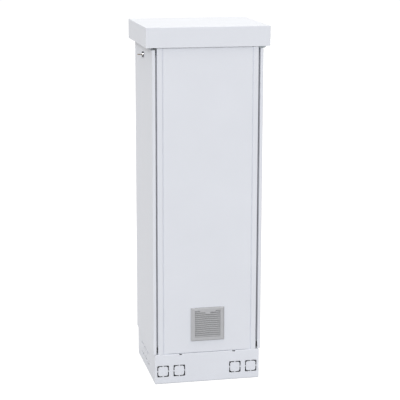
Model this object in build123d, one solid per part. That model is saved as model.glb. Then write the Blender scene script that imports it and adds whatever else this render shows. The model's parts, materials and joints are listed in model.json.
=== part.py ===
from build123d import *
import os

# Outdoor floor-standing rack cabinet, in millimetres.
# X runs across the front with the filter, Y runs from the front to the back, Z is up.
# The origin lies on the floor in the middle of the plinth.

# Overall sizes
frame_width = 600.0
frame_depth = 600.0
overall_height = 2135.0
cut_overrun = 5.0

# Sheet thicknesses
frame_sheet = 2.0
cover_sheet = 1.5
plinth_sheet = 2.5
hood_sheet = 2.0

# Plinth with cable knock-outs
plinth_height = 182.0
plinth_overhang = 20.0
plinth_flange = 45.0
plinth_bend = 2.5
anchor_radius = 7.0
anchor_pitch_x = 500.0
knockout_size = 71.0
knockout_slot = 6.0
knockout_corner = 5.0
knockout_inner_corner = 12.0
knockout_bridge = 6.0
knockout_centre_z = 78.0
knockout_side_raise = 10.0
knockout_side_shift = 35.0
knockout_pitch = 99.0
knockout_inner_x = 171.5
notch_width = 17.0
notch_depth = 7.0
notch_x = 163.0
bracket_leg = 40.0
bracket_sheet = 3.0
bracket_height = 52.0
bracket_below_top = 10.0

# Corner posts, roll-formed with a rebate for the front and rear panels
post_strip = 31.0
post_rebate = 6.0
post_seat = 29.0
post_side = 38.0
post_return = 28.0
post_corner_bend = 3.0
post_fine_bend = 0.5
post_return_bend = 1.5

# Horizontal rails of the frame
rail_bend = 1.5
rail_end_gap = 1.0
side_rail_flange = 30.0
wall_rail_flange = 36.0
base_rail_height = 58.0
top_rail_height = 68.0
vent_count = 8
vent_length = 45.0
vent_height = 9.0
vent_pitch = 60.0
vent_below_top = 10.0

# Front and rear panels
panel_sheet = 2.0
panel_step = 2.0
panel_gap = 5.5
panel_seam = 4.0

# Floor plate and cable entry
floor_sheet = 1.5
floor_gap = 2.0
floor_notch = 32.0
entry_width = 360.0
entry_depth = 140.0
entry_y = 110.0
gland_border = 20.0
gland_sheet = 2.0
grommet_count = 3
grommet_pitch = 110.0
grommet_bore = 24.0
grommet_seat = 30.0
grommet_rim = 35.0
grommet_lip = 3.0

# Struts and 19-inch rails
strut_depth = 45.0
strut_height = 30.0
strut_above_filter = 7.0
strut_below_top = 140.0
strut_bend = 2.0
rack_unit = 44.45
rack_top_room = 90.0
rack_rail_bottom = 246.0
rack_side_room = 75.0
rack_hole_inset = 7.55
rack_hole_size = 9.5
rack_hole_first = 6.35
rack_hole_step = 15.875
rack_face_x = 240.0
rack_leg = 40.0
rack_lip = 12.0
rack_bend = 1.5

# Roof
roof_rise = 105.0
roof_overhang_side = 65.0
roof_overhang_front = 12.0
roof_skirt = 117.0
roof_edge_radius = 4.0
roof_hem = 10.0
pan_sheet = 1.5
bearer_x = 200.0
bearer_flange = 40.0
bearer_end_gap = 20.0
bearer_bend = 2.0
eave_below_top = 126.0
eave_flange = 6.0
eave_rise = 21.0
eave_bend = 1.5

# Lift-off side covers
cover_gap = 10.0
cover_tray = 18.0
cover_edge_radius = 5.0
cover_top_gap = 4.0
cover_seam = 4.0
cover_floor_raise = 4.0
cover_lip_side = 36.0
cover_lip_top = 43.0
cover_lip_bottom = 44.0
seal_width = 11.0
seal_side_inset = 22.0
seal_top_inset = 31.0
seal_raise = 38.0
seal_play = 0.3

# Tilt pivots at the foot of each cover
pivot_inset = 6.0
pivot_height = 18.0
pivot_rod_radius = 2.5
pivot_play = 0.1
pivot_tab = 2.5
pivot_tab_radius = 3.5
hook_inset = 13.0
hook_width = 8.0
hook_side_play = 1.0
hook_leg = 4.0
hook_height = 30.0
hook_clearance = 1.2
hook_relief_height = 28.0

# Locks of the covers
lock_below_top = 55.0
lock_gasket_sheet = 1.5
lock_gasket_edge = 0.8
lock_rose_radius = 17.0
lock_rose_height = 6.0
lock_rose_bevel = 3.0
lock_groove_outer = 12.0
lock_groove_inner = 9.0
lock_groove_depth = 1.0
lock_barrel_radius = 10.0
lock_hole_play = 0.2
lock_nut_across = 27.0
lock_nut_height = 5.0
lock_plug_radius = 6.0
lock_plug_play = 0.1
lock_plug_recess = 0.5
lock_cam_setback = 1.0
lock_cam_sheet = 3.0
lock_cam_width = 16.0
lock_cam_reach = 34.0
lock_barrel_end = 2.0
keyway_width = 2.8
keyway_height = 8.4
keyway_depth = 22.0
key_sheet = 2.4
key_blade = 8.0
key_blade_depth = 18.0
key_neck = 6.0
key_bow_width = 24.0
key_bow_length = 21.0
key_bow_corner = 8.0
key_ring_radius = 3.0

# Filter unit low on the front panel
filter_raise = 179.0
filter_size = 204.0
filter_cutout = 177.0
filter_fit = 0.5
filter_flange = 196.0
filter_flange_sheet = 3.0
filter_flange_foot = 11.0
filter_basket_depth = 34.0
filter_wall = 2.0
filter_bar = 3.0
filter_bar_count = 4
filter_mat_thickness = 15.0
filter_mat_play = 1.0
louvre_front = 13.5
louvre_back_gap = 0.6
louvre_wall = 2.5
louvre_hinge_radius = 5.9
louvre_chamfer_side = 8.0
louvre_chamfer_end = 5.0
louvre_hollow_end = 3.0
louvre_field_side = 24.0
louvre_field_top = 17.0
louvre_field_bottom = 23.5
louvre_count = 13
louvre_sheet = 2.0
louvre_depth = 7.0
louvre_front_set = 0.6
louvre_cheek = 3.0
louvre_pin_radius = 2.0
louvre_pin_play = 0.1
louvre_pin_end_gap = 3.5
louvre_ear = 5.0
louvre_ear_inset = 10.5
louvre_ear_radius = 3.0
louvre_ear_height = 8.0
louvre_grip_top = 5.0
louvre_grip_height = 20.0
louvre_grip_width = 98.0
louvre_grip_taper = 2.0
louvre_tab_width = 30.0
louvre_tab_height = 13.0

# Places worked out from the sizes above
half_width = frame_width / 2
half_depth = frame_depth / 2
half_plinth = half_width + plinth_overhang
frame_top = overall_height - roof_rise
eave_floor_z = overall_height - eave_below_top
cover_inner_x = half_width + cover_gap
cover_face_x = cover_inner_x + cover_tray
cover_bottom = plinth_height + cover_seam
cover_top = eave_floor_z - cover_top_gap
cover_floor_z = cover_bottom + cover_floor_raise
seal_bottom_z = plinth_height + seal_raise
lock_z = cover_top - lock_below_top
hook_y = half_depth - hook_inset
lock_face_x = cover_face_x + lock_gasket_sheet + lock_rose_height
panel_bottom = plinth_height + panel_seam
panel_face_y = half_depth - panel_step
seat_face_y = half_depth - post_rebate
seat_back_y = seat_face_y - frame_sheet
strip_inner_x = half_width - post_strip
seat_inner_x = strip_inner_x - post_seat
side_inner_y = half_depth - post_side
strut_inner_y = seat_back_y - strut_depth
rack_opening_y = half_depth - rack_side_room
rack_hole_y = rack_opening_y + rack_hole_inset
rack_units = int((frame_top - rack_top_room - rack_rail_bottom) / rack_unit)
base_flange_top = plinth_height + frame_sheet
floor_top = base_flange_top + floor_sheet
pan_top = frame_top + pan_sheet
skirt_bottom = overall_height - roof_skirt
pivot_x = half_width + pivot_inset
pivot_z = plinth_height + pivot_height
wall_rail_half = strip_inner_x - rail_end_gap
filter_centre_z = plinth_height + filter_raise
filter_bottom = filter_centre_z - filter_size / 2
filter_top = filter_centre_z + filter_size / 2
louvre_back_y = panel_face_y + louvre_back_gap
louvre_front_y = panel_face_y + louvre_front
louvre_hinge_y = louvre_back_y + louvre_hinge_radius
louvre_hinge_z = filter_bottom + louvre_hinge_radius
strut_low_z = filter_top + strut_above_filter
strut_high_z = frame_top - strut_below_top
strut_levels = (strut_low_z, (strut_low_z + strut_high_z) / 2, strut_high_z)

ALONG_X = Vector(1, 0, 0)
ALONG_Y = Vector(0, 1, 0)
ALONG_Z = Vector(0, 0, 1)


def span(x0, x1, y0, y1, z0, z1):
    """Block between two corners."""
    centre = Pos((x0 + x1) / 2, (y0 + y1) / 2, (z0 + z1) / 2)
    return centre * Box(abs(x1 - x0), abs(y1 - y0), abs(z1 - z0))


def folded_face(points, wall, bends):
    """Section of a folded sheet: the points follow one side and the wall lies to their left."""
    near = [Vector(*point) for point in points]
    steps = [(b - a).normalized() for a, b in zip(near, near[1:])]
    normals = [Vector(-step.Y, step.X) for step in steps]
    far = [near[0] + normals[0] * wall]
    near_radii = [0]
    far_radii = [0]
    for i, bend in enumerate(bends):
        before, after = normals[i], normals[i + 1]
        far.append(near[i + 1] + (before + after) * (wall / (1 + before.dot(after))))
        turns_left = steps[i].cross(steps[i + 1]).Z > 0
        near_radii.append(bend + wall if turns_left else bend)
        far_radii.append(bend if turns_left else bend + wall)
    far.append(near[-1] + normals[-1] * wall)
    outline = near + far[::-1]
    radii = near_radii + [0, 0] + far_radii[::-1]
    return make_face(FilletPolyline(*outline, radius=radii, close=True).edges())


def along_x(face, x0, x1):
    """Extrudes a section drawn in (Y, Z) from x0 to x1."""
    return Pos(x0, 0, 0) * extrude(Plane.YZ * face, amount=x1 - x0, dir=ALONG_X)


def along_y(face, y0, y1):
    """Extrudes a section drawn in (X, Z) from y0 to y1."""
    return Pos(0, y0, 0) * extrude(Plane.XZ * face, amount=y1 - y0, dir=ALONG_Y)


def along_z(face, z0, z1):
    """Extrudes a section drawn in (X, Y) from z0 to z1."""
    return Pos(0, 0, z0) * extrude(face, amount=z1 - z0, dir=ALONG_Z)


def rod_x(radius, x0, x1, y, z):
    """Round bar along X."""
    return Pos((x0 + x1) / 2, y, z) * Rot(0, 90, 0) * Cylinder(radius, abs(x1 - x0))


def rod_y(radius, y0, y1, x, z):
    """Round bar along Y."""
    return Pos(x, (y0 + y1) / 2, z) * Rot(90, 0, 0) * Cylinder(radius, abs(y1 - y0))


def rod_z(radius, z0, z1, x, y):
    """Round bar along Z."""
    return Pos(x, y, (z0 + z1) / 2) * Cylinder(radius, abs(z1 - z0))


def to_right(shape):
    """The same piece on the other side of the cabinet."""
    return mirror(shape, about=Plane.YZ)


def to_rear(shape):
    """The same piece at the back of the cabinet."""
    return mirror(shape, about=Plane.XZ)


def knockout_slots():
    """Four corner slots that leave a square plate held by a bridge at the middle of each side."""
    inner = knockout_size - 2 * knockout_slot
    ring = RectangleRounded(knockout_size, knockout_size, knockout_corner)
    ring -= RectangleRounded(inner, inner, knockout_inner_corner)
    ring -= Rectangle(knockout_bridge, knockout_size)
    ring -= Rectangle(knockout_size, knockout_bridge)
    return ring


def plinth_front():
    """Front wall of the plinth with both flanges, cable knock-outs and two drain notches."""
    inner_y = half_depth - plinth_flange
    points = [(-inner_y, plinth_height), (-half_depth, plinth_height), (-half_depth, 0), (-inner_y, 0)]
    wall = along_x(folded_face(points, plinth_sheet, [plinth_bend] * 2), -half_plinth, half_plinth)
    corner_x = half_plinth - plinth_sheet
    for side in (-1, 1):
        corner = span(side * corner_x, side * (half_plinth + cut_overrun), -half_depth + plinth_sheet,
                      0, -cut_overrun, plinth_height + cut_overrun)
        wall -= corner
    slots = knockout_slots()
    for x in (knockout_inner_x, knockout_inner_x + knockout_pitch):
        for side in (-1, 1):
            place = Pos(side * x, knockout_centre_z)
            wall -= along_y(place * slots, -half_depth - cut_overrun,
                            -half_depth + plinth_sheet + cut_overrun)
    for side in (-1, 1):
        centre = side * notch_x
        wall -= span(centre - notch_width / 2, centre + notch_width / 2, -half_depth - cut_overrun,
                     -half_depth + notch_depth, plinth_height - notch_depth, plinth_height + cut_overrun)
        hole_y = -half_depth + plinth_flange / 2
        wall -= rod_z(anchor_radius, -cut_overrun, cut_overrun, side * anchor_pitch_x / 2, hole_y)
    return wall


def plinth_left():
    """Left wall of the plinth, let in between the front and rear walls."""
    inner_x = half_plinth - plinth_flange
    points = [(-inner_x, plinth_height), (-half_plinth, plinth_height), (-half_plinth, 0), (-inner_x, 0)]
    end_y = half_depth - plinth_sheet
    wall = along_y(folded_face(points, plinth_sheet, [plinth_bend] * 2), -end_y, end_y)
    flange_end = half_depth - plinth_flange
    for side in (-1, 1):
        wall -= span(-half_plinth + plinth_sheet, 0, side * flange_end, side * half_depth,
                     -cut_overrun, plinth_height + cut_overrun)
    slots = knockout_slots()
    for i in (-1, 0, 1):
        place = Pos(knockout_side_shift + i * knockout_pitch, knockout_centre_z + knockout_side_raise)
        wall -= along_x(place * slots, -half_plinth - cut_overrun,
                        -half_plinth + plinth_sheet + cut_overrun)
    return wall


def plinth_brackets():
    """Angle in each upper corner that bolts the plinth walls together."""
    x = half_plinth - plinth_sheet
    y = half_depth - plinth_sheet
    points = [(-x, -y + bracket_leg), (-x, -y), (-x + bracket_leg, -y)]
    top = plinth_height - bracket_below_top
    angle = along_z(folded_face(points, bracket_sheet, [plinth_bend]), top - bracket_height, top)
    pair = [angle, to_right(angle)]
    return Compound(children=pair + [to_rear(piece) for piece in pair])


def corner_post():
    """Front left post: a side return, the rounded corner, the visible strip and the panel's seat."""
    points = [
        (-half_width + post_return, -side_inner_y),
        (-half_width, -side_inner_y),
        (-half_width, -half_depth),
        (-strip_inner_x, -half_depth),
        (-strip_inner_x, -seat_face_y),
        (-seat_inner_x, -seat_face_y),
    ]
    bends = [post_return_bend, post_corner_bend, post_fine_bend, post_fine_bend]
    return along_z(folded_face(points, frame_sheet, bends), plinth_height, frame_top)


def base_side_rail():
    """Left base rail between the posts."""
    points = [
        (-half_width, plinth_height + base_rail_height),
        (-half_width, plinth_height),
        (-half_width + side_rail_flange, plinth_height),
    ]
    return along_y(folded_face(points, frame_sheet, [rail_bend]), -side_inner_y, side_inner_y)


def base_wall_rail():
    """Front base rail, lapped behind the seats of the posts."""
    points = [
        (-seat_back_y, plinth_height + base_rail_height),
        (-seat_back_y, plinth_height),
        (-seat_back_y + wall_rail_flange, plinth_height),
    ]
    return along_x(folded_face(points, frame_sheet, [rail_bend]), -wall_rail_half, wall_rail_half)


def top_side_rail():
    """Left top rail with a row of air outlets under the roof."""
    points = [
        (-half_width + side_rail_flange, frame_top),
        (-half_width, frame_top),
        (-half_width, frame_top - top_rail_height),
    ]
    rail = along_y(folded_face(points, frame_sheet, [rail_bend]), -side_inner_y, side_inner_y)
    slot = SlotOverall(vent_length, vent_height)
    first = -vent_pitch * (vent_count - 1) / 2
    for i in range(vent_count):
        place = Pos(first + i * vent_pitch, frame_top - vent_below_top)
        rail -= along_x(place * slot, -half_width - cut_overrun, -half_width + frame_sheet + cut_overrun)
    return rail


def top_wall_rail():
    """Front top rail, lapped behind the seats of the posts."""
    points = [
        (-seat_back_y + wall_rail_flange, frame_top),
        (-seat_back_y, frame_top),
        (-seat_back_y, frame_top - top_rail_height),
    ]
    return along_x(folded_face(points, frame_sheet, [rail_bend]), -wall_rail_half, wall_rail_half)


def flat_panel():
    """Wall panel with a folded rim that stands on the seats of the posts."""
    half = strip_inner_x - panel_gap
    panel = span(-half, half, -panel_face_y, -seat_face_y, panel_bottom, frame_top)
    inner = half - panel_sheet
    return panel - span(-inner, inner, -panel_face_y + panel_sheet, -seat_face_y + cut_overrun,
                        panel_bottom + panel_sheet, frame_top - panel_sheet)


def front_panel():
    """Front panel with the square cut-out of the filter unit."""
    half = filter_cutout / 2
    cutout = span(-half, half, -panel_face_y - cut_overrun, -panel_face_y + panel_sheet + cut_overrun,
                  filter_centre_z - half, filter_centre_z + half)
    return flat_panel() - cutout


def floor_plate():
    """Floor sheet on the base rails, notched round the posts, with the cable entry."""
    x = half_width - frame_sheet - floor_gap
    y = seat_back_y - frame_sheet - floor_gap
    plate = span(-x, x, -y, y, base_flange_top, floor_top)
    for side_x in (-1, 1):
        for side_y in (-1, 1):
            plate -= span(side_x * (x - floor_notch), side_x * half_width, side_y * (y - floor_notch),
                          side_y * half_depth, plinth_height, floor_top + cut_overrun)
    plate -= span(-entry_width / 2, entry_width / 2, entry_y - entry_depth / 2, entry_y + entry_depth / 2,
                  plinth_height, floor_top + cut_overrun)
    return plate


def grommet_places():
    """Middle of each cable hole."""
    first = -grommet_pitch * (grommet_count - 1) / 2
    return [first + i * grommet_pitch for i in range(grommet_count)]


def gland_plate():
    """Cover plate of the cable entry with a hole for each grommet."""
    x = entry_width / 2 + gland_border
    y = entry_depth / 2 + gland_border
    plate = span(-x, x, entry_y - y, entry_y + y, floor_top, floor_top + gland_sheet)
    for place in grommet_places():
        plate -= rod_z(grommet_seat, floor_top - cut_overrun, floor_top + gland_sheet + cut_overrun,
                       place, entry_y)
    return plate


def cable_grommets():
    """Rubber grommets, each with a groove that grips the gland plate."""
    low = floor_top - grommet_lip
    high = floor_top + gland_sheet + grommet_lip
    section = Polyline(
        (grommet_bore, low), (grommet_rim, low), (grommet_rim, floor_top), (grommet_seat, floor_top),
        (grommet_seat, floor_top + gland_sheet), (grommet_rim, floor_top + gland_sheet),
        (grommet_rim, high), (grommet_bore, high), close=True)
    ring = revolve(Plane.XZ * make_face(section.edges()), Axis.Z)
    return Compound(children=[Pos(place, entry_y, 0) * ring for place in grommet_places()])


def strut(level):
    """Channel behind the front panel that carries the rack rails."""
    high = level + strut_height
    points = [(-seat_back_y, level), (-strut_inner_y, level), (-strut_inner_y, high), (-seat_back_y, high)]
    return along_x(folded_face(points, frame_sheet, [strut_bend] * 2), -wall_rail_half, wall_rail_half)


def rack_rail():
    """Rail of the 19-inch rack with three square holes in each rack unit."""
    points = [
        (-rack_face_x, -rack_opening_y),
        (-rack_face_x, -strut_inner_y),
        (-rack_face_x + rack_leg, -strut_inner_y),
        (-rack_face_x + rack_leg, -strut_inner_y + rack_lip),
    ]
    top = rack_rail_bottom + rack_unit * rack_units
    rail = along_z(folded_face(points, frame_sheet, [rack_bend] * 2), rack_rail_bottom, top)
    hole = Box(frame_sheet + 2 * cut_overrun, rack_hole_size, rack_hole_size)
    holes = []
    for unit in range(rack_units):
        for step in range(3):
            z = rack_rail_bottom + unit * rack_unit + rack_hole_first + step * rack_hole_step
            holes.append(Pos(-rack_face_x, -rack_hole_y, z) * hole)
    return rail - holes


def roof_pan():
    """Flat sheet that closes the frame under the hood."""
    return span(-half_width, half_width, -half_depth, half_depth, frame_top, pan_top)


def roof_bearer():
    """Left channel that carries the hood on the pan."""
    high = overall_height - hood_sheet
    outer = -bearer_x
    inner = -bearer_x + bearer_flange
    points = [(inner, high), (outer, high), (outer, pan_top), (inner, pan_top)]
    end = half_depth - bearer_end_gap
    return along_y(folded_face(points, frame_sheet, [bearer_bend] * 2), -end, end)


def roof_hood():
    """Folded hood with rounded edges and a hem turned in round its mouth."""
    x = half_width + roof_overhang_side
    y = half_depth + roof_overhang_front
    hood = span(-x, x, -y, y, skirt_bottom, overall_height)
    rounded = hood.edges().filter_by(Axis.Z) + hood.edges().group_by(Axis.Z)[-1]
    hood = fillet(rounded, roof_edge_radius)
    inner_x = x - hood_sheet
    inner_y = y - hood_sheet
    hood -= span(-inner_x, inner_x, -inner_y, inner_y,
                 skirt_bottom + hood_sheet, overall_height - hood_sheet)
    mouth_x = x - roof_hem
    mouth_y = y - roof_hem
    return hood - span(-mouth_x, mouth_x, -mouth_y, mouth_y, skirt_bottom - cut_overrun,
                       skirt_bottom + hood_sheet + cut_overrun)


def eave():
    """Left eave: a gutter over the cover that flares up at 45 degrees inside the hood."""
    points = [
        (-cover_face_x - eave_rise, eave_floor_z + eave_rise),
        (-cover_face_x, eave_floor_z),
        (-half_width, eave_floor_z),
        (-half_width, eave_floor_z + eave_flange),
    ]
    return along_y(folded_face(points, pan_sheet, [eave_bend] * 2), -half_depth, half_depth)


def cover():
    """Left lift-off cover: a folded tray with a lip all round for the seal and a hole for the lock."""
    x0, x1 = -cover_face_x, -cover_inner_x
    tray = span(x0, x1, -half_depth, half_depth, cover_bottom, cover_top)
    outer = tray.faces().sort_by(Axis.X)[0].edges()
    rounded = outer.filter_by(Axis.Z) + outer.sort_by(Axis.Z)[-1:]
    tray = fillet(rounded, cover_edge_radius)
    inner_y = half_depth - cover_sheet
    floor_z = cover_floor_z + cover_sheet
    tray -= span(x0 + cover_sheet, x1 - cover_sheet, -inner_y, inner_y, floor_z, cover_top - cover_sheet)
    tray -= span(x0 + cover_sheet, x1 + cut_overrun, -inner_y, inner_y,
                 cover_bottom - cut_overrun, cover_floor_z)
    open_y = half_depth - cover_lip_side
    tray -= span(x1 - cover_sheet - cut_overrun, x1 + cut_overrun, -open_y, open_y,
                 cover_floor_z + cover_lip_bottom, cover_top - cover_lip_top)
    relief_y = hook_y - hook_width / 2 - hook_side_play - pivot_tab - hook_side_play
    for side in (-1, 1):
        tray -= span(x1 - cover_sheet, x1 + cut_overrun, side * relief_y, side * inner_y,
                     cover_floor_z, cover_bottom + hook_relief_height)
    hole = lock_barrel_radius + lock_hole_play
    return tray - rod_x(hole, x0 - cut_overrun, x0 + cover_sheet + cut_overrun, 0, lock_z)


def cover_seal():
    """Left seal loop on the posts and rails, just clear of the lip of the cover."""
    x0, x1 = -cover_inner_x + seal_play, -half_width
    y = half_depth - seal_side_inset
    top = cover_top - seal_top_inset
    loop = span(x0, x1, -y, y, seal_bottom_z, top)
    inner = y - seal_width
    return loop - span(x0 - cut_overrun, x1 + cut_overrun, -inner, inner,
                       seal_bottom_z + seal_width, top - seal_width)


def cover_hooks():
    """Two hooks under the lip of the left cover that stand on the pivot rods."""
    slot = pivot_rod_radius + pivot_play
    low = pivot_z - hook_leg
    hooks = []
    for side in (-1, 1):
        y0 = side * hook_y - hook_width / 2
        y1 = side * hook_y + hook_width / 2
        hook = span(-cover_inner_x, -half_width - hook_clearance, y0, y1, low, low + hook_height)
        hook -= span(-pivot_x - slot, -pivot_x + slot, y0, y1, low - cut_overrun, pivot_z)
        hooks.append(hook - rod_y(slot, y0 - cut_overrun, y1 + cut_overrun, -pivot_x, pivot_z))
    return Compound(children=hooks)


def cover_pivots():
    """Two rods welded between tabs on the left posts."""
    pivots = []
    for side in (-1, 1):
        reach = hook_width / 2 + hook_side_play
        y0 = side * hook_y - reach - pivot_tab
        y1 = side * hook_y + reach + pivot_tab
        pivot = rod_y(pivot_rod_radius, y0, y1, -pivot_x, pivot_z)
        for start in (y0, y1 - pivot_tab):
            tab = span(-pivot_x, -half_width, start, start + pivot_tab,
                       pivot_z - pivot_tab_radius, pivot_z + pivot_tab_radius)
            pivot += tab + rod_y(pivot_tab_radius, start, start + pivot_tab, -pivot_x, pivot_z)
        pivots.append(pivot)
    return Compound(children=pivots)


def lock_body():
    """Left lock: a rounded rose with a ring groove, a barrel through the cover and a bore for the plug."""
    back = -cover_face_x - lock_gasket_sheet
    rose = rod_x(lock_rose_radius, -lock_face_x, back, 0, lock_z)
    rim = rose.faces().sort_by(Axis.X)[0].edges()
    rose = fillet(rim, lock_rose_bevel)
    groove = Circle(lock_groove_outer) - Circle(lock_groove_inner)
    groove = along_x(groove, -lock_face_x - cut_overrun, -lock_face_x + lock_groove_depth)
    rose -= Pos(0, 0, lock_z) * groove
    barrel_end = -half_width + lock_barrel_end
    body = rose + rod_x(lock_barrel_radius, back, barrel_end, 0, lock_z)
    bore = lock_plug_radius + lock_plug_play
    return body - rod_x(bore, -lock_face_x - cut_overrun, barrel_end + cut_overrun, 0, lock_z)


def lock_gasket():
    """Rubber washer between the rose of the left lock and the cover."""
    ring = Circle(lock_rose_radius + lock_gasket_edge) - Circle(lock_barrel_radius + lock_hole_play)
    return Pos(0, 0, lock_z) * along_x(ring, -cover_face_x - lock_gasket_sheet, -cover_face_x)


def lock_nut():
    """Flat nut that holds the left lock behind the skin of the cover."""
    x0 = -cover_face_x + cover_sheet
    ring = RegularPolygon(lock_nut_across / 2, 6, major_radius=False)
    ring -= Circle(lock_barrel_radius + lock_hole_play)
    return Pos(0, 0, lock_z) * along_x(ring, x0, x0 + lock_nut_height)


def cam_start_x():
    """Outer face of the cam, a little behind the wall of the top rail."""
    return -half_width + frame_sheet + lock_cam_setback


def lock_plug():
    """Turning plug of the left lock with its keyway."""
    face = -lock_face_x + lock_plug_recess
    plug = rod_x(lock_plug_radius, face, cam_start_x(), 0, lock_z)
    return plug - span(face - cut_overrun, face + keyway_depth, -keyway_height / 2, keyway_height / 2,
                       lock_z - keyway_width / 2, lock_z + keyway_width / 2)


def lock_cam():
    """Cam of the left lock, level when unlocked, that turns up behind the top rail."""
    radius = lock_cam_width / 2
    plate = Circle(radius)
    plate += Pos((lock_cam_reach - radius) / 2, 0) * Rectangle(lock_cam_reach - radius, lock_cam_width)
    plate += Pos(lock_cam_reach - radius, 0) * Circle(radius)
    start = cam_start_x()
    return Pos(0, 0, lock_z) * along_x(plate, start, start + lock_cam_sheet)


def key():
    """Flat key that stands in the left lock, with a hole for a ring."""
    face = -lock_face_x
    z0, z1 = lock_z - key_sheet / 2, lock_z + key_sheet / 2
    blade = span(face - key_neck, face + key_blade_depth, -key_blade / 2, key_blade / 2, z0, z1)
    bow = RectangleRounded(key_bow_length, key_bow_width, key_bow_corner)
    bow -= Pos(-key_bow_length / 2 + 2 * key_ring_radius, 0) * Circle(key_ring_radius)
    bow_x = face - key_neck - key_bow_length / 2
    return blade + Pos(bow_x, 0, 0) * along_z(bow, z0, z1)


def filter_housing():
    """Basket in the cut-out of the front panel, with a flange and two hinge ears."""
    half = filter_cutout / 2 - filter_fit
    flange = filter_flange / 2
    y_face = -panel_face_y - filter_flange_sheet
    y_back = -panel_face_y + filter_basket_depth
    z0, z1 = filter_centre_z - half, filter_centre_z + half
    housing = span(-flange, flange, y_face, -panel_face_y,
                   filter_bottom + filter_flange_foot, filter_centre_z + flange)
    housing += span(-half, half, -panel_face_y, y_back, z0, z1)
    inner = half - filter_wall
    housing -= span(-inner, inner, y_face - cut_overrun, y_back + cut_overrun,
                    filter_centre_z - inner, filter_centre_z + inner)
    pitch = 2 * inner / (filter_bar_count + 1)
    for i in range(filter_bar_count):
        x = -inner + (i + 1) * pitch
        housing += span(x - filter_bar / 2, x + filter_bar / 2, y_back - filter_bar, y_back,
                        filter_centre_z - inner, filter_centre_z + inner)
    pin_end = filter_size / 2 - louvre_pin_end_gap
    ear = filter_size / 2 - louvre_ear_inset
    for side in (-1, 1):
        ear0, ear1 = side * (ear - louvre_ear), side * ear
        housing += rod_x(louvre_ear_radius, ear0, ear1, -louvre_hinge_y, louvre_hinge_z)
        housing += span(ear0, ear1, -louvre_hinge_y - louvre_ear_radius, y_face, louvre_hinge_z,
                        louvre_hinge_z + louvre_ear_height)
        housing += rod_x(louvre_pin_radius, ear0, side * pin_end, -louvre_hinge_y, louvre_hinge_z)
    return housing


def filter_mat():
    """Fibre mat that lies against the bars of the basket."""
    half = filter_cutout / 2 - filter_fit - filter_wall - filter_mat_play
    y1 = -panel_face_y + filter_basket_depth - filter_bar
    return span(-half, half, y1 - filter_mat_thickness, y1, filter_centre_z - half, filter_centre_z + half)


def louvre_bevels(block, end):
    """The block with broad bevels down the sides of its front and narrower ones across its ends."""
    block = chamfer(block.faces().sort_by(Axis.Y)[0].edges().filter_by(Axis.Z), louvre_chamfer_side)
    return chamfer(block.faces().sort_by(Axis.Y)[0].edges().filter_by(Axis.X), end)


def louvre_cover():
    """Louvred cover of the filter, hinged at its foot, with a grip plate at its top."""
    x = filter_size / 2
    body = span(-x, x, -louvre_front_y, -louvre_back_y, filter_bottom, filter_top)
    back_foot = body.faces().sort_by(Axis.Y)[-1].edges().sort_by(Axis.Z)[:1]
    body = fillet(back_foot, louvre_hinge_radius)
    wall_y = -louvre_front_y + louvre_wall
    hollow = span(-x + louvre_wall, x - louvre_wall, wall_y, -louvre_back_y + cut_overrun,
                  filter_bottom + louvre_wall, filter_top - louvre_wall)
    body = louvre_bevels(body, louvre_chamfer_end) - louvre_bevels(hollow, louvre_hollow_end)
    field_x = x - louvre_field_side
    z0 = filter_bottom + louvre_field_bottom
    z1 = filter_top - louvre_field_top
    body -= span(-field_x, field_x, -louvre_front_y - cut_overrun, wall_y + cut_overrun, z0, z1)
    front = -louvre_front_y + louvre_front_set
    back = front + louvre_depth
    for side in (-1, 1):
        body += span(side * field_x, side * (field_x + louvre_cheek), wall_y, back, z0, z1)
    pitch = (z1 - z0) / louvre_count
    rise = louvre_depth + louvre_sheet
    slat_end = field_x + louvre_cheek / 2
    for i in range(louvre_count):
        z = z0 + i * pitch + (pitch - rise) / 2
        section = Polyline((front, z), (front, z + louvre_sheet), (back, z + rise),
                           (back, z + louvre_depth), close=True)
        body += along_x(make_face(section.edges()), -slat_end, slat_end)
    grip_top = filter_top - louvre_grip_top
    grip_low = grip_top - louvre_grip_height
    half = louvre_grip_width / 2
    plate = make_face(Polyline((-half, grip_top), (half, grip_top), (half - louvre_grip_taper, grip_low),
                               (-half + louvre_grip_taper, grip_low), close=True).edges())
    plate += Pos(0, grip_low - louvre_tab_height / 2) * Rectangle(louvre_tab_width, louvre_tab_height)
    body += along_y(plate, -louvre_front_y, wall_y)
    hole = louvre_pin_radius + louvre_pin_play
    return body - rod_x(hole, -x - cut_overrun, x + cut_overrun, -louvre_hinge_y, louvre_hinge_z)


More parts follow.
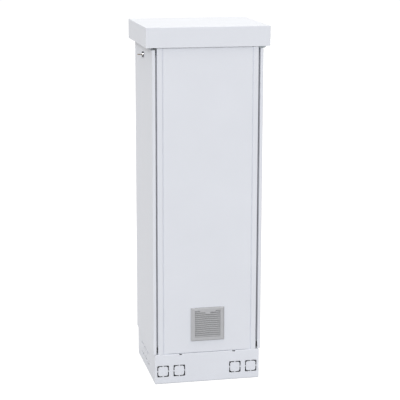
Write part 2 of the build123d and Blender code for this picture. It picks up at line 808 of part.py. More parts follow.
def pieces():
    """Every piece of the cabinet by name."""
    front = plinth_front()
    left = plinth_left()
    post = corner_post()
    right_post = to_right(post)
    nodes = {
        "plinth_front": front,
        "plinth_rear": to_rear(front),
        "plinth_left": left,
        "plinth_right": to_right(left),
        "plinth_brackets": plinth_brackets(),
        "post_front_left": post,
        "post_front_right": right_post,
        "post_rear_left": to_rear(post),
        "post_rear_right": to_rear(right_post),
        "base_rail_left": base_side_rail(),
        "base_rail_front": base_wall_rail(),
        "top_rail_left": top_side_rail(),
        "top_rail_front": top_wall_rail(),
        "front_panel": front_panel(),
        "rear_panel": to_rear(flat_panel()),
        "floor_plate": floor_plate(),
        "gland_plate": gland_plate(),
        "cable_grommets": cable_grommets(),
        "rack_rail_front": rack_rail(),
        "roof_pan": roof_pan(),
        "roof_hood": roof_hood(),
        "roof_bearer_left": roof_bearer(),
        "eave_left": eave(),
        "cover_left": cover(),
        "cover_seal_left": cover_seal(),
        "cover_hooks_left": cover_hooks(),
        "cover_pivots_left": cover_pivots(),
        "lock_body_left": lock_body(),
        "lock_gasket_left": lock_gasket(),
        "lock_nut_left": lock_nut(),
        "lock_plug_left": lock_plug(),
        "lock_cam_left": lock_cam(),
        "key": key(),
        "filter_housing": filter_housing(),
        "filter_mat": filter_mat(),
        "louvre_cover": louvre_cover(),
    }
    for name, level in zip(("low", "middle", "high"), strut_levels):
        nodes[f"strut_{name}_front"] = strut(level)
        nodes[f"strut_{name}_rear"] = to_rear(nodes[f"strut_{name}_front"])
    for name in list(nodes):
        if name.endswith("_left") and name.replace("_left", "_right") not in nodes:
            nodes[name.replace("_left", "_right")] = to_right(nodes[name])
    for name in ("base_rail", "top_rail", "rack_rail"):
        nodes[f"{name}_rear"] = to_rear(nodes[f"{name}_front"])
    return nodes


os.makedirs("parts", exist_ok=True)
for node, shape in pieces().items():
    export_step(shape, f"parts/{node}.step")
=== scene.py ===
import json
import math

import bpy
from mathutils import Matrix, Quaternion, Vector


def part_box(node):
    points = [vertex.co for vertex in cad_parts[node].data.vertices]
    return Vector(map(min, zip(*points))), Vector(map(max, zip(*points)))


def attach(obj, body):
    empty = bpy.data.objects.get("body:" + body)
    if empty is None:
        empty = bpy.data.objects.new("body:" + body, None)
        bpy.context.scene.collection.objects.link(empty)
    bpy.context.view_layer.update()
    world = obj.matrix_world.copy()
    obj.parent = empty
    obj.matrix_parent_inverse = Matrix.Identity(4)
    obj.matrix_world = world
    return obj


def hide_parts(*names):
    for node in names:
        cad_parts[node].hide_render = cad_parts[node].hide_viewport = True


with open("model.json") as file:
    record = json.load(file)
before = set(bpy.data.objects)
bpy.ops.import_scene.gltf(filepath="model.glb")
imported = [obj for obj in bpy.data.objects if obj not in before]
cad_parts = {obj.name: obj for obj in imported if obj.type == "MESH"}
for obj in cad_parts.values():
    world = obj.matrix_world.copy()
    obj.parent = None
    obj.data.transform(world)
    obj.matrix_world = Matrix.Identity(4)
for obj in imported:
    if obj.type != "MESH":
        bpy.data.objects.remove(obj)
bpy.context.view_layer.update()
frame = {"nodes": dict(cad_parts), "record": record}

# %% [markdown]
# # Outdoor rack cabinet
# A floor-standing sheet-steel cabinet: a plinth with cable knock-outs, a folded frame, two lift-off
# side covers with locks, a louvred filter inlet and an overhanging roof hood.
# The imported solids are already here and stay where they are. This script gives them their finishes,
# models the soft and small pieces that solids leave plain, and sets the light and the camera.

nodes = frame["nodes"]
print("packed nodes:", len(nodes))


# %% [markdown]
# ## Helpers for finishes
# Colours are written as the sRGB hex values that a paint chart or a colour picker gives, and one
# function turns them into the linear values that shader sockets expect. A second small function adds
# one shader node with its settings and its links, so that each finish below reads as a list.

# %% Colour and node helpers
def linear(hex_colour):
    """Linear RGBA of an sRGB hex colour."""
    channels = [int(hex_colour[i:i + 2], 16) / 255 for i in (1, 3, 5)]
    return [c / 12.92 if c <= 0.04045 else ((c + 0.055) / 1.055) ** 2.4 for c in channels] + [1.0]


def add_node(tree, kind, settings=None, links=None):
    """One shader node. A setting is a socket's value or a property, and a link names its source."""
    node = tree.nodes.new(kind)
    for name, value in (settings or {}).items():
        if isinstance(name, int) or name in node.inputs:
            node.inputs[name].default_value = value
        else:
            setattr(node, name, value)
    for name, (source, output) in (links or {}).items():
        tree.links.new(source.outputs[output], node.inputs[name])
    return node


def start_finish(name):
    """An empty material with its object coordinates and its output."""
    material = bpy.data.materials.new(name)
    material.use_nodes = True
    tree = material.node_tree
    tree.nodes.clear()
    place = add_node(tree, "ShaderNodeTexCoord")
    output = add_node(tree, "ShaderNodeOutputMaterial")
    return material, tree, place, output


def set_stops(ramp, stops):
    """Colours of a ramp at their positions from 0 to 1."""
    elements = ramp.color_ramp.elements
    while len(elements) < len(stops):
        elements.new(0.5)
    for element, (position, colour) in zip(elements, stops):
        element.position = position
        element.color = colour


def per_metre(millimetres):
    """Pattern scale that repeats about once in that many millimetres."""
    return 1000.0 / millimetres


print("a mid grey, #808080, is", round(linear("#808080")[0], 3), "in linear light")


# %% [markdown]
# ## Powder coat
# The sheet steel is sprayed with polyester powder and baked. That leaves a pale, slightly blue grey
# with a satin gloss and a fine orange peel, a few millimetres from crest to crest. A plain colour would
# do from afar, but a large flat panel with one even value looks like plastic. So the peel is a noise
# bump, which shows only close up, and a second, much wider noise varies the gloss and the tone by a hair.

# %% Powder-coat finish
peel_mm = 2.6
peel_depth = 0.0004
coat_cloud_mm = 340.0


def powder_coat(name, dark, light, roughness):
    """Baked powder on sheet steel."""
    material, tree, place, output = start_finish(name)
    peel = add_node(tree, "ShaderNodeTexNoise",
                    {"Scale": per_metre(peel_mm), "Detail": 3.0, "Roughness": 0.6},
                    {"Vector": (place, "Object")})
    cloud = add_node(tree, "ShaderNodeTexNoise",
                     {"Scale": per_metre(coat_cloud_mm), "Detail": 4.0, "Roughness": 0.55},
                     {"Vector": (place, "Object")})
    tone = add_node(tree, "ShaderNodeValToRGB", links={"Fac": (cloud, "Fac")})
    set_stops(tone, [(0.3, linear(dark)), (0.7, linear(light))])
    sheen = add_node(tree, "ShaderNodeMapRange", {"To Min": roughness - 0.05, "To Max": roughness + 0.06},
                     {"Value": (cloud, "Fac")})
    bump = add_node(tree, "ShaderNodeBump", {"Strength": 0.18, "Distance": peel_depth},
                    {"Height": (peel, "Fac")})
    shader = add_node(tree, "ShaderNodeBsdfPrincipled", {"IOR": 1.5, "Specular IOR Level": 0.45},
                      {"Base Color": (tone, "Color"), "Roughness": (sheen, "Result"),
                       "Normal": (bump, "Normal")})
    tree.links.new(shader.outputs["BSDF"], output.inputs["Surface"])
    return material


cabinet_grey = powder_coat("powder_coat_light_grey", "#DBDEE5", "#DEE1E8", roughness=0.46)
print("made", cabinet_grey.name)


# %% [markdown]
# ## Zinc-coated steel
# The hidden structure, such as the struts, the rack rails and the floor sheet, is galvanised strip. Zinc
# freezes in flat crystals, the spangle, so neighbouring patches reflect a little more or less. A picture
# of spangle would have to be laid on each piece, while Voronoi cells of the right size need no file and
# give each crystal its own gloss and tone. Small plated hardware has a finer grain. The eaves get a darker
# grey, which is partly zinc dulled in the weather and partly painted shade for the hood's shadow on them.

# %% Zinc finish
def zinc_coat(name, dark, light, spangle_mm):
    """Zinc on steel, in crystals of about that many millimetres."""
    material, tree, place, output = start_finish(name)
    crystal = add_node(tree, "ShaderNodeTexVoronoi", {"Scale": per_metre(spangle_mm), "Randomness": 1.0},
                       {"Vector": (place, "Object")})
    grey = add_node(tree, "ShaderNodeSeparateColor", links={"Color": (crystal, "Color")})
    tone = add_node(tree, "ShaderNodeValToRGB", links={"Fac": (grey, "Red")})
    set_stops(tone, [(0.0, linear(dark)), (1.0, linear(light))])
    gloss = add_node(tree, "ShaderNodeMapRange", {"To Min": 0.34, "To Max": 0.52},
                     {"Value": (grey, "Green")})
    shader = add_node(tree, "ShaderNodeBsdfPrincipled", {"Metallic": 1.0},
                      {"Base Color": (tone, "Color"), "Roughness": (gloss, "Result")})
    tree.links.new(shader.outputs["BSDF"], output.inputs["Surface"])
    return material


galvanised = zinc_coat("galvanised_steel_spangle", "#B2B6B9", "#C9CCCE", spangle_mm=9.0)
zinc_plated = zinc_coat("zinc_plated_hardware", "#B9BBBC", "#C4C5C4", spangle_mm=1.4)
# Darker grey for the eaves: partly weathered zinc, partly painted shade under the hood.
weathered_and_shaded_zinc = zinc_coat("weathered_galvanised_steel_painted_shade", "#8C9296", "#989EA2", spangle_mm=9.0)
print("made", galvanised.name, zinc_plated.name, weathered_and_shaded_zinc.name)


# %% [markdown]
# ## Moulded, foamed and coated finishes
# The grille is moulded ABS with a fine spark-eroded grain, the cover seals are a grey foam that is
# poured on and sets, the grommets and lock washers are matt EPDM rubber, and the tilt hooks and rods are
# black electro-coated steel. Each is a dielectric whose surface is rough at a size of its own, so one
# function makes all four: a noise bump as wide as the grain, under a tone that wanders slightly.

# %% Grained finishes
grains_in_a_cloud = 40


def grained(name, dark, light, grain_mm, roughness, depth):
    """A dielectric with a grain of that width in millimetres and that depth in metres."""
    material, tree, place, output = start_finish(name)
    grain = add_node(tree, "ShaderNodeTexNoise",
                     {"Scale": per_metre(grain_mm), "Detail": 4.0, "Roughness": 0.65},
                     {"Vector": (place, "Object")})
    cloud = add_node(tree, "ShaderNodeTexNoise",
                     {"Scale": per_metre(grain_mm * grains_in_a_cloud), "Detail": 3.0},
                     {"Vector": (place, "Object")})
    tone = add_node(tree, "ShaderNodeValToRGB", links={"Fac": (cloud, "Fac")})
    set_stops(tone, [(0.3, linear(dark)), (0.7, linear(light))])
    gloss = add_node(tree, "ShaderNodeMapRange", {"To Min": roughness - 0.08, "To Max": roughness + 0.08},
                     {"Value": (grain, "Fac")})
    bump = add_node(tree, "ShaderNodeBump", {"Strength": 0.25, "Distance": depth},
                    {"Height": (grain, "Fac")})
    shader = add_node(tree, "ShaderNodeBsdfPrincipled", {"IOR": 1.5, "Specular IOR Level": 0.4},
                      {"Base Color": (tone, "Color"), "Roughness": (gloss, "Result"),
                       "Normal": (bump, "Normal")})
    tree.links.new(shader.outputs["BSDF"], output.inputs["Surface"])
    return material


grille_plastic = grained("moulded_abs_grey", "#B0B1B4", "#B5B6B9",
                         grain_mm=0.9, roughness=0.55, depth=0.0003)
seal_foam = grained("foamed_gasket_grey", "#A9AAAD", "#B2B3B6",
                    grain_mm=0.6, roughness=0.85, depth=0.0004)
seal_rubber = grained("epdm_rubber_black", "#1B1C1D", "#232425",
                      grain_mm=0.7, roughness=0.82, depth=0.0003)
black_steel = grained("electro_coated_black_steel", "#1E1F21", "#27282A",
                      grain_mm=1.2, roughness=0.42, depth=0.0002)
print("made", grille_plastic.name, seal_foam.name, seal_rubber.name, black_steel.name)


# %% [markdown]
# ## Dust and painted shade in the louvres
# Air is drawn through the grille, so dust settles on the inner half of each slat, where rain doesn't wash
# it off. The same darker tone also paints the shade that falls deeper between the slats, so it is partly
# dust and partly painted shade. Painting it by hand would tie it to one mesh. Here the depth behind the
# grille's front decides how much of it shows, between the two sides of the louvred field. The darker tone
# goes between the plastic's own colour and its shader. On a colour Mix node, A, B and the result are
# sockets 6, 7 and 2.

# %% Dust and painted shade on the slats
clean_depth = 0.0012
dust_and_shade_depth = 0.0052
field_half_width = 0.0785
grille_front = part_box("louvre_cover")[0].y
tree = grille_plastic.node_tree
place = next(node for node in tree.nodes if node.type == "TEX_COORD")
shader = next(node for node in tree.nodes if node.type == "BSDF_PRINCIPLED")
plastic_tone = shader.inputs["Base Color"].links[0].from_node
position = add_node(tree, "ShaderNodeSeparateXYZ", links={"Vector": (place, "Object")})
depth = add_node(tree, "ShaderNodeMapRange",
                 {"From Min": grille_front + clean_depth, "From Max": grille_front + dust_and_shade_depth},
                 {"Value": (position, "Y")})
from_middle = add_node(tree, "ShaderNodeMath", {"operation": "ABSOLUTE"}, {0: (position, "X")})
in_field = add_node(tree, "ShaderNodeMath", {"operation": "LESS_THAN", 1: field_half_width},
                    {0: (from_middle, "Value")})
# Darker with depth: partly dust, partly painted shade between the slats.
dust_and_painted_shade = add_node(tree, "ShaderNodeMath", {"operation": "MULTIPLY"},
                {0: (depth, "Result"), 1: (in_field, "Value")})
dust_and_shade_tone = add_node(tree, "ShaderNodeMix", {"data_type": "RGBA", 7: linear("#A2A3A5")},
                 {0: (dust_and_painted_shade, "Value"), 6: (plastic_tone, "Color")})
tree.links.new(dust_and_shade_tone.outputs[2], shader.inputs["Base Color"])
print("dust from", clean_depth, "to", dust_and_shade_depth, "m behind the front of the grille")


# %% [markdown]
# ## Lock metals
# The lock's plug is turned steel, and the key is worn to a brown brass tone. Polished metal shows mostly
# what is round it, so a plain metallic shader would nearly do. Faint smears in the gloss and the tone
# keep it from looking computed.

# %% Polished and worn metals
def lock_metal(name, dark, light, smear_mm, smooth, rough):
    """Bare metal with smears of that width, between a smooth and a rough gloss."""
    material, tree, place, output = start_finish(name)
    smear = add_node(tree, "ShaderNodeTexNoise",
                     {"Scale": per_metre(smear_mm), "Detail": 5.0, "Roughness": 0.6},
                     {"Vector": (place, "Object")})
    tone = add_node(tree, "ShaderNodeValToRGB", links={"Fac": (smear, "Fac")})
    set_stops(tone, [(0.35, linear(dark)), (0.65, linear(light))])
    gloss = add_node(tree, "ShaderNodeMapRange", {"To Min": smooth, "To Max": rough},
                     {"Value": (smear, "Fac")})
    shader = add_node(tree, "ShaderNodeBsdfPrincipled", {"Metallic": 1.0},
                      {"Base Color": (tone, "Color"), "Roughness": (gloss, "Result")})
    tree.links.new(shader.outputs["BSDF"], output.inputs["Surface"])
    return material


plug_steel = lock_metal("turned_steel_plug", "#D4D5D6", "#E4E5E6", smear_mm=2.0, smooth=0.2, rough=0.35)
key_brass = lock_metal("worn_brass_key", "#6B5130", "#93744A", smear_mm=5.0, smooth=0.26, rough=0.5)
print("made", plug_steel.name, key_brass.name)

# %% [markdown]
# ## Lock rose
# The rose is one metal casting whose colour carries a painted reflection: dark above and below, with a
# bright band of painted highlight across it where the key goes in. Two materials on one mesh would need an
# edge along the band. A sharp change of colour on a straight line is easier to place by the distance from
# the middle of the band. A mapping node flattens the coordinates to their height and puts zero a little
# above the lock's axis, found from the lock's box.

# %% Rose with painted reflections
band_above_axis = 0.003
band_half_height = 0.005
rose_smear_mm = 6.0
rose_low, rose_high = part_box("lock_body_left")
band_middle = (rose_low.z + rose_high.z) / 2 + band_above_axis
lock_chrome, tree, place, output = start_finish("casting_with_painted_reflection")
height = add_node(tree, "ShaderNodeMapping", {"Location": (0.0, 0.0, -band_middle), "Scale": (0.0, 0.0, 1.0)},
                  {"Vector": (place, "Object")})
off_band = add_node(tree, "ShaderNodeVectorMath", {"operation": "LENGTH"}, {0: (height, "Vector")})
painted_dark_reflection = add_node(tree, "ShaderNodeMath", {"operation": "GREATER_THAN", 1: band_half_height},
                     {0: (off_band, "Value")})
# Bright on the band and dark off it: painted highlight and painted dark reflections.
tone = add_node(tree, "ShaderNodeValToRGB", links={"Fac": (painted_dark_reflection, "Value")})
set_stops(tone, [(0.0, linear("#F2F2F3")), (1.0, linear("#47484B"))])
smear = add_node(tree, "ShaderNodeTexNoise", {"Scale": per_metre(rose_smear_mm), "Detail": 5.0},
                 {"Vector": (place, "Object")})
gloss = add_node(tree, "ShaderNodeMapRange", {"To Min": 0.06, "To Max": 0.24}, {"Value": (smear, "Fac")})
shader = add_node(tree, "ShaderNodeBsdfPrincipled", {"Metallic": 1.0},
                  {"Base Color": (tone, "Color"), "Roughness": (gloss, "Result")})
tree.links.new(shader.outputs["BSDF"], output.inputs["Surface"])
print("made", lock_chrome.name, "with the middle of its band at", round(band_middle, 4))


# %% [markdown]
# ## Filter fleece
# The mat behind the louvres is a bonded fleece of crimped polyester fibres. Real hair strands would be
# far too many for a mat that is half hidden. Two stretched noises, one along each direction of the mat,
# stand for the tangle of fibres, both as tone and as bump, and a little sheen gives the soft edge that
# loose fibres have.

# %% Fleece finish
fibre_length_mm = 6.944
fibre_width_mm = 0.8929
layer_mm = 0.625
fibre_relief = 0.001


def fleece(name, dark, light):
    """A tangle of fibres that lie along x and along z."""
    material, tree, place, output = start_finish(name)
    fibres = []
    for along_x, along_z in ((fibre_length_mm, fibre_width_mm), (fibre_width_mm, fibre_length_mm)):
        stretch = (per_metre(along_x), per_metre(layer_mm), per_metre(along_z))
        lay = add_node(tree, "ShaderNodeMapping", {"Scale": stretch}, {"Vector": (place, "Object")})
        fibres.append(add_node(tree, "ShaderNodeTexNoise", {"Scale": 1.0, "Detail": 4.0, "Distortion": 1.2},
                               {"Vector": (lay, "Vector")}))
    tangle = add_node(tree, "ShaderNodeMath", {"operation": "MAXIMUM"},
                      {0: (fibres[0], "Fac"), 1: (fibres[1], "Fac")})
    tone = add_node(tree, "ShaderNodeValToRGB", links={"Fac": (tangle, "Value")})
    set_stops(tone, [(0.42, linear(dark)), (0.72, linear(light))])
    bump = add_node(tree, "ShaderNodeBump", {"Strength": 0.7, "Distance": fibre_relief},
                    {"Height": (tangle, "Value")})
    shader = add_node(tree, "ShaderNodeBsdfPrincipled",
                      {"Roughness": 0.95, "Sheen Weight": 0.3, "Specular IOR Level": 0.2},
                      {"Base Color": (tone, "Color"), "Normal": (bump, "Normal")})
    tree.links.new(shader.outputs["BSDF"], output.inputs["Surface"])
    return material


filter_fleece = fleece("polyester_fleece", "#8F8F89", "#BDBDB6")
print("made", filter_fleece.name)

# %% [markdown]
# ## Finishes on the imported solids
# Each solid keeps its mesh and gets the finish of the real piece, and the finishes of the lock rose, the
# grille and the eaves also carry painted light or shade. The record says which slot a node takes, so one
# table from slot to finish dresses the whole cabinet. A second, short table holds the pieces whose zinc is
# not the bright one: small plated hardware, and the eaves, whose darker zinc is partly weathering and
# partly painted shade under the hood.

# %% Dress the solids
finishes = {
    "powder_coat": cabinet_grey,
    "seal_foam": seal_foam,
    "seal_rubber": seal_rubber,
    "black_steel": black_steel,
    "lock_chrome": lock_chrome,
    "lock_steel": plug_steel,
    "zinc_steel": galvanised,
    "key_brass": key_brass,
    "filter_plastic": grille_plastic,
    "filter_fleece": filter_fleece,
}
other_zinc = {
    "lock_nut": zinc_plated,
    "lock_cam": zinc_plated,
    "plinth_brackets": zinc_plated,
    # The eaves' darker zinc is partly weathering and partly painted shade under the hood.
    "eave": weathered_and_shaded_zinc,
}
worn = set()
for row in frame["record"]["subparts"]:
    finish = finishes[row["material_slot"]]
    for start_of_name, zinc in other_zinc.items():
        if row["node"].startswith(start_of_name):
            finish = zinc
    solid = nodes[row["node"]]
    solid.data.materials.clear()
    solid.data.materials.append(finish)
    worn.add(finish.name)
print("dressed", len(nodes), "solids in", len(worn), "finishes")


# %% [markdown]
# ## Modelling helpers
# New pieces are modelled as by hand: a primitive at its size and place, then edit-mode operators and
# applied modifiers. An operator acts on all that is selected, so everything is deselected first.
# A finished piece keeps its place in its mesh, with its object at the origin, as the solids do.

# %% Start and finish a piece
def start_cube(name, low, high):
    """A cube between two corners, in object mode."""
    bpy.ops.object.select_all(action="DESELECT")
    bpy.ops.mesh.primitive_cube_add(size=1.0, location=(low + high) / 2)
    piece = bpy.context.object
    piece.name = name
    piece.scale = high - low
    bpy.ops.object.transform_apply(location=True, rotation=True, scale=True)
    return piece


def apply_modifier(piece, kind, **settings):
    """Adds one modifier with its settings and applies it."""
    modifier = piece.modifiers.new(kind.title(), kind)
    for name, value in settings.items():
        setattr(modifier, name, value)
    bpy.ops.object.modifier_apply(modifier=modifier.name)


def finish_piece(piece, material, body):
    """Gives a new piece its finish and its body."""
    piece.data.materials.clear()
    piece.data.materials.append(material)
    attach(piece, body)
    print(piece.name, len(piece.data.polygons), "faces on", body)


# %% [markdown]
# ## Filter mat
# The fleece pad lies loose in its basket. It is a soft pad whose edges are rounded and whose face is a
# little uneven. Cloth simulation suits a pad with a cover, but this one is stiff felt all through. So it
# starts as a block, gets rounded edges and a fine grid, and a cloud texture pushes its faces in and out
# by under a millimetre.

# %% Filter mat
basket_room = 0.0008
mat_edge_radius = 0.004
lump_width = 0.018
lump_relief = 0.0012
mat_low, mat_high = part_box("filter_mat")
room = Vector((basket_room, basket_room, basket_room))
mat = start_cube("filter_fleece_mat", mat_low + room, mat_high - room)
apply_modifier(mat, "BEVEL", width=mat_edge_radius, segments=3)
bpy.ops.object.mode_set(mode="EDIT")
bpy.ops.mesh.select_all(action="SELECT")
bpy.ops.mesh.subdivide(number_cuts=14)
bpy.ops.object.mode_set(mode="OBJECT")
lumps = bpy.data.textures.new("fleece_lumps", "CLOUDS")
lumps.noise_scale = lump_width
apply_modifier(mat, "DISPLACE", texture=lumps, texture_coords="GLOBAL", strength=lump_relief, mid_level=0.7)
bpy.ops.object.shade_smooth()
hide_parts("filter_mat")
finish_piece(mat, filter_fleece, "cabinet")

# %% [markdown]
# ## Cover seals
# Each cover closes on a loop of grey foam that is set on the frame. Its outer side is a round bead,
# which is what shows in the shadow gap. A curve with a round section would give a bead too, but not the
# flat back that sits on the frame. So the loop starts as a block. Both large faces are inset and bridged,
# which cuts out the middle, and the edges that face the cover are rounded. The left loop is modelled, and
# half a turn about the cabinet's middle gives the right one.

# %% Left seal as a square loop
def select_parts(piece, kind, wanted):
    """Selects the vertices, edges or faces for which wanted(part) holds, and goes into edit mode."""
    bpy.ops.object.mode_set(mode="EDIT")
    bpy.ops.mesh.select_mode(type=kind)
    bpy.ops.mesh.select_all(action="DESELECT")
    bpy.ops.object.mode_set(mode="OBJECT")
    mesh = piece.data
    for part in {"VERT": mesh.vertices, "EDGE": mesh.edges, "FACE": mesh.polygons}[kind]:
        part.select = wanted(part)
    bpy.ops.object.mode_set(mode="EDIT")


seal_width = 0.011
seal_low, seal_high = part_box("cover_seal_left")
left_seal = start_cube("seal_bead_left", seal_low, seal_high)
select_parts(left_seal, "FACE", lambda face: abs(face.normal.x) > 0.9)
bpy.ops.mesh.inset(thickness=seal_width, use_individual=True)
bpy.ops.mesh.bridge_edge_loops()
bpy.ops.object.mode_set(mode="OBJECT")
print("left seal is", [round(size * 1000, 1) for size in left_seal.dimensions], "mm")

# %% Bead on the left seal
bead_radius = 0.0052
smooth_below = math.radians(40)
same_place = 1e-5


def faces_cover(edge):
    """Whether an edge of the left seal lies on the side that meets the cover."""
    ends = [left_seal.data.vertices[v].co for v in edge.vertices]
    return all(abs(end.x - seal_low.x) < same_place for end in ends)


select_parts(left_seal, "EDGE", faces_cover)
bpy.ops.mesh.bevel(offset=bead_radius, segments=5, profile=0.5, clamp_overlap=True)
bpy.ops.mesh.select_all(action="SELECT")
bpy.ops.mesh.normals_make_consistent(inside=False)
bpy.ops.object.mode_set(mode="OBJECT")
bpy.ops.object.shade_smooth_by_angle(angle=smooth_below)
print("its bead has a radius of", round(bead_radius * 1000, 1), "mm")


# %% Right seal, and both in place of the solids
def copy_piece(name):
    """A copy of the piece that was just modelled, with its own mesh and selected in its place."""
    bpy.ops.object.duplicate(linked=False)
    bpy.context.object.name = name
    return bpy.context.object


right_seal = copy_piece("seal_bead_right")
right_seal.rotation_euler.z = math.pi
bpy.ops.object.transform_apply(location=True, rotation=True, scale=True)
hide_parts("cover_seal_left")
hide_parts("cover_seal_right")
for seal in (left_seal, right_seal):
    finish_piece(seal, seal_foam, "cabinet")

# %% [markdown]
# ## Stop ends of the right eave
# The gutter over the right cover is closed at both ends by a galvanised cap, while the left one drains at
# its ends. The caps take the eaves' darker zinc, which is partly weathering and partly painted shade under
# the hood. The cap is cut from flat sheet, so it starts as a thin block set against the gutter's end. Its
# upper outer edge is slid out, so that it leans like the gutter's flare and stands a little beyond it, and
# its edges are broken by a small bevel. The front cap is modelled and copied to the rear.

# %% Stop ends
clear_of_frame = 0.0016
cap_thickness = 0.0015
cap_margin = 0.005
cap_drip = 0.0025
cap_lean = 0.028
cap_edge = 0.0003
eave_low, eave_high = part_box("eave_right")
flare = eave_high.z - eave_low.z
cap_low = Vector((eave_low.x + clear_of_frame, eave_low.y - cap_thickness, eave_low.z - cap_drip))
cap_high = Vector((eave_high.x - flare + cap_margin, eave_low.y, eave_high.z))
front_cap = start_cube("eave_stop_end_front", cap_low, cap_high)


def upper_outer(corner):
    """Whether a corner of the cap is one of the two that lean out."""
    below = cap_high - corner.co
    return below.x < same_place and below.z < same_place


select_parts(front_cap, "VERT", upper_outer)
bpy.ops.transform.translate(value=(cap_lean, 0.0, 0.0))
bpy.ops.object.mode_set(mode="OBJECT")
apply_modifier(front_cap, "BEVEL", width=cap_edge, segments=2)
rear_cap = copy_piece("eave_stop_end_rear")
rear_cap.location.y = eave_high.y - eave_low.y + cap_thickness
bpy.ops.object.transform_apply(location=True, rotation=True, scale=True)
for cap in (front_cap, rear_cap):
    finish_piece(cap, weathered_and_shaded_zinc, "cabinet")


# %% [markdown]
# ## Floor
# The cabinet stands on a plain studio floor. A floor that is white enough for the background would throw
# too much light up at the cabinet. So for rays that carry light it is a matt grey, and for the camera and
# for reflections it also glows, just enough to reach white where the light falls. Under the plinth it
# doesn't glow, because it would shine out of the knock-outs.

# %% Floor plane
floor_size = 40.0
bpy.ops.object.select_all(action="DESELECT")
bpy.ops.mesh.primitive_plane_add(size=floor_size, location=(0, 0, 0))
floor = bpy.context.object
floor.name = "studio_floor"
print("floor of", floor_size, "m")


# %% Floor finish
def seen_directly(tree):
    """One for rays from the camera, off a reflection or through glass, and zero for the rest."""
    rays = add_node(tree, "ShaderNodeLightPath")
    mirrored = add_node(tree, "ShaderNodeMath", {"operation": "MAXIMUM"},
                        {0: (rays, "Is Camera Ray"), 1: (rays, "Is Glossy Ray")})
    return add_node(tree, "ShaderNodeMath", {"operation": "MAXIMUM"},
                    {0: (mirrored, "Value"), 1: (rays, "Is Transmission Ray")})


glow_strength = 0.78
inside_plinth = 0.002
plinth_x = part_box("plinth_right")[1].x - inside_plinth
plinth_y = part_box("plinth_rear")[1].y - inside_plinth
floor_grey, tree, place, output = start_finish("matt_studio_floor")
matt = add_node(tree, "ShaderNodeBsdfDiffuse", {"Color": linear("#A2A2A2")})
from_middle = add_node(tree, "ShaderNodeVectorMath", {"operation": "ABSOLUTE"}, {0: (place, "Object")})
reach = add_node(tree, "ShaderNodeSeparateXYZ", links={"Vector": (from_middle, "Vector")})
beyond_x = add_node(tree, "ShaderNodeMath", {"operation": "GREATER_THAN", 1: plinth_x}, {0: (reach, "X")})
beyond_y = add_node(tree, "ShaderNodeMath", {"operation": "GREATER_THAN", 1: plinth_y}, {0: (reach, "Y")})
outside = add_node(tree, "ShaderNodeMath", {"operation": "MAXIMUM"},
                   {0: (beyond_x, "Value"), 1: (beyond_y, "Value")})
level = add_node(tree, "ShaderNodeMath", {"operation": "MULTIPLY", 1: glow_strength}, {0: (outside, "Value")})
glow = add_node(tree, "ShaderNodeEmission", links={"Strength": (level, "Value")})
glowing = add_node(tree, "ShaderNodeAddShader", links={0: (matt, "BSDF"), 1: (glow, "Emission")})
split = add_node(tree, "ShaderNodeMixShader",
                 links={0: (seen_directly(tree), "Value"), 1: (matt, "BSDF"), 2: (glowing, "Shader")})
tree.links.new(split.outputs["Shader"], output.inputs["Surface"])
floor.data.materials.append(floor_grey)
print("floor glows beyond", round(plinth_x, 3), "by", round(plinth_y, 3), "m")

# %% [markdown]
# ## Surroundings
# A catalogue picture has an even white round the object. A white world as bright as the background would
# wash the shadows out. So the world is white where it is seen, a hair over one so that no noise shows in
# it, and a weaker, slightly warm white where it fills the shadows.

# %% World
world = bpy.data.worlds.new("white_studio")
bpy.context.scene.world = world
world.use_nodes = True
tree = world.node_tree
tree.nodes.clear()
fill = add_node(tree, "ShaderNodeBackground", {"Color": linear("#FFFDFC"), "Strength": 0.765})
white = add_node(tree, "ShaderNodeBackground", {"Color": linear("#FFFFFF"), "Strength": 1.06})
split = add_node(tree, "ShaderNodeMixShader",
                 links={0: (seen_directly(tree), "Value"), 1: (fill, "Background"), 2: (white, "Background")})
add_node(tree, "ShaderNodeOutputWorld", links={"Surface": (split, "Shader")})
print("world made with", len(tree.nodes), "nodes")


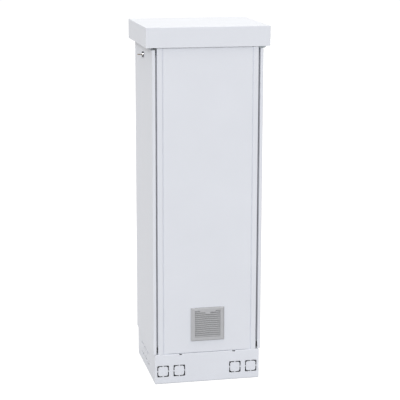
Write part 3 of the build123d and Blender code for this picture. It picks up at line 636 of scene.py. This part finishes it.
# %% [markdown]
# ## Light
# One key stands high at the front and to the left. It lights the front and the left cover, throws the
# shadow of the hood on them, and leaves the other side of every rim and groove a little darker. A soft
# light from straight above makes the roof bright, and the even white surroundings fill the rest, as in a
# catalogue picture. The key is a touch cool and the light from above a touch warm, which sets the bluish
# front off from the roof and the side. A weak light from behind keeps the other two sides from going dull.
# Suns do this better than area lamps here, because a tall cabinet is then lit alike from top to bottom.
# Their spread, the width of the disc in degrees, sets how soft a shadow is.

# %% Lamps
def wide_sun(name, colour, travel, energy, spread):
    """A sun whose light travels along a direction, with a disc of that many degrees."""
    lamp = bpy.data.lights.new(name, "SUN")
    lamp.color = linear(colour)[:3]
    lamp.energy = energy
    lamp.angle = math.radians(spread)
    holder = bpy.data.objects.new(name, lamp)
    bpy.context.scene.collection.objects.link(holder)
    holder.rotation_euler = Vector(travel).to_track_quat("-Z", "Y").to_euler()
    return holder


key_light = wide_sun("front_key", "#F9FBFF", travel=(0.41, 1.0, -0.40), energy=1.29, spread=7.0)
roof_light = wide_sun("overhead", "#FFFDF0", travel=(0.02, 0.03, -1.0), energy=0.94, spread=50.0)
rear_light = wide_sun("rear_fill", "#FBFCFF", travel=(-0.60, -0.75, -0.28), energy=0.45, spread=30.0)
print("lamps made:", key_light.name, roof_light.name, rear_light.name)

# %% [markdown]
# ## Camera
# The view was solved from the straight edges of the photo: a long lens a good eight metres away, a
# little above the roof and to the left of the front, with the camera rolled by a seventh of a degree.

# %% Camera
azimuth = math.radians(-12.0237)
elevation = math.radians(12.4412)
roll = math.radians(0.138)
camera_distance = 8.266
aim = Vector((0.0168, 0.0, 1.054))
focal_pixels = 1355.89
picture_pixels = 400
away = Vector((math.sin(azimuth) * math.cos(elevation), -math.cos(azimuth) * math.cos(elevation),
               math.sin(elevation)))
eye = bpy.data.cameras.new("photo_view")
eye.sensor_width = 36.0
eye.lens = focal_pixels / picture_pixels * eye.sensor_width
camera = bpy.data.objects.new("photo_view", eye)
bpy.context.scene.collection.objects.link(camera)
camera.location = aim + away * camera_distance
level_turn = (-away).to_track_quat("-Z", "Y")
camera.rotation_euler = (level_turn @ Quaternion((0.0, 0.0, 1.0), roll)).to_euler()
bpy.context.scene.camera = camera
bpy.context.scene.view_settings.view_transform = "Standard"
print("camera at", [round(c, 3) for c in camera.location], "lens", round(eye.lens, 1))
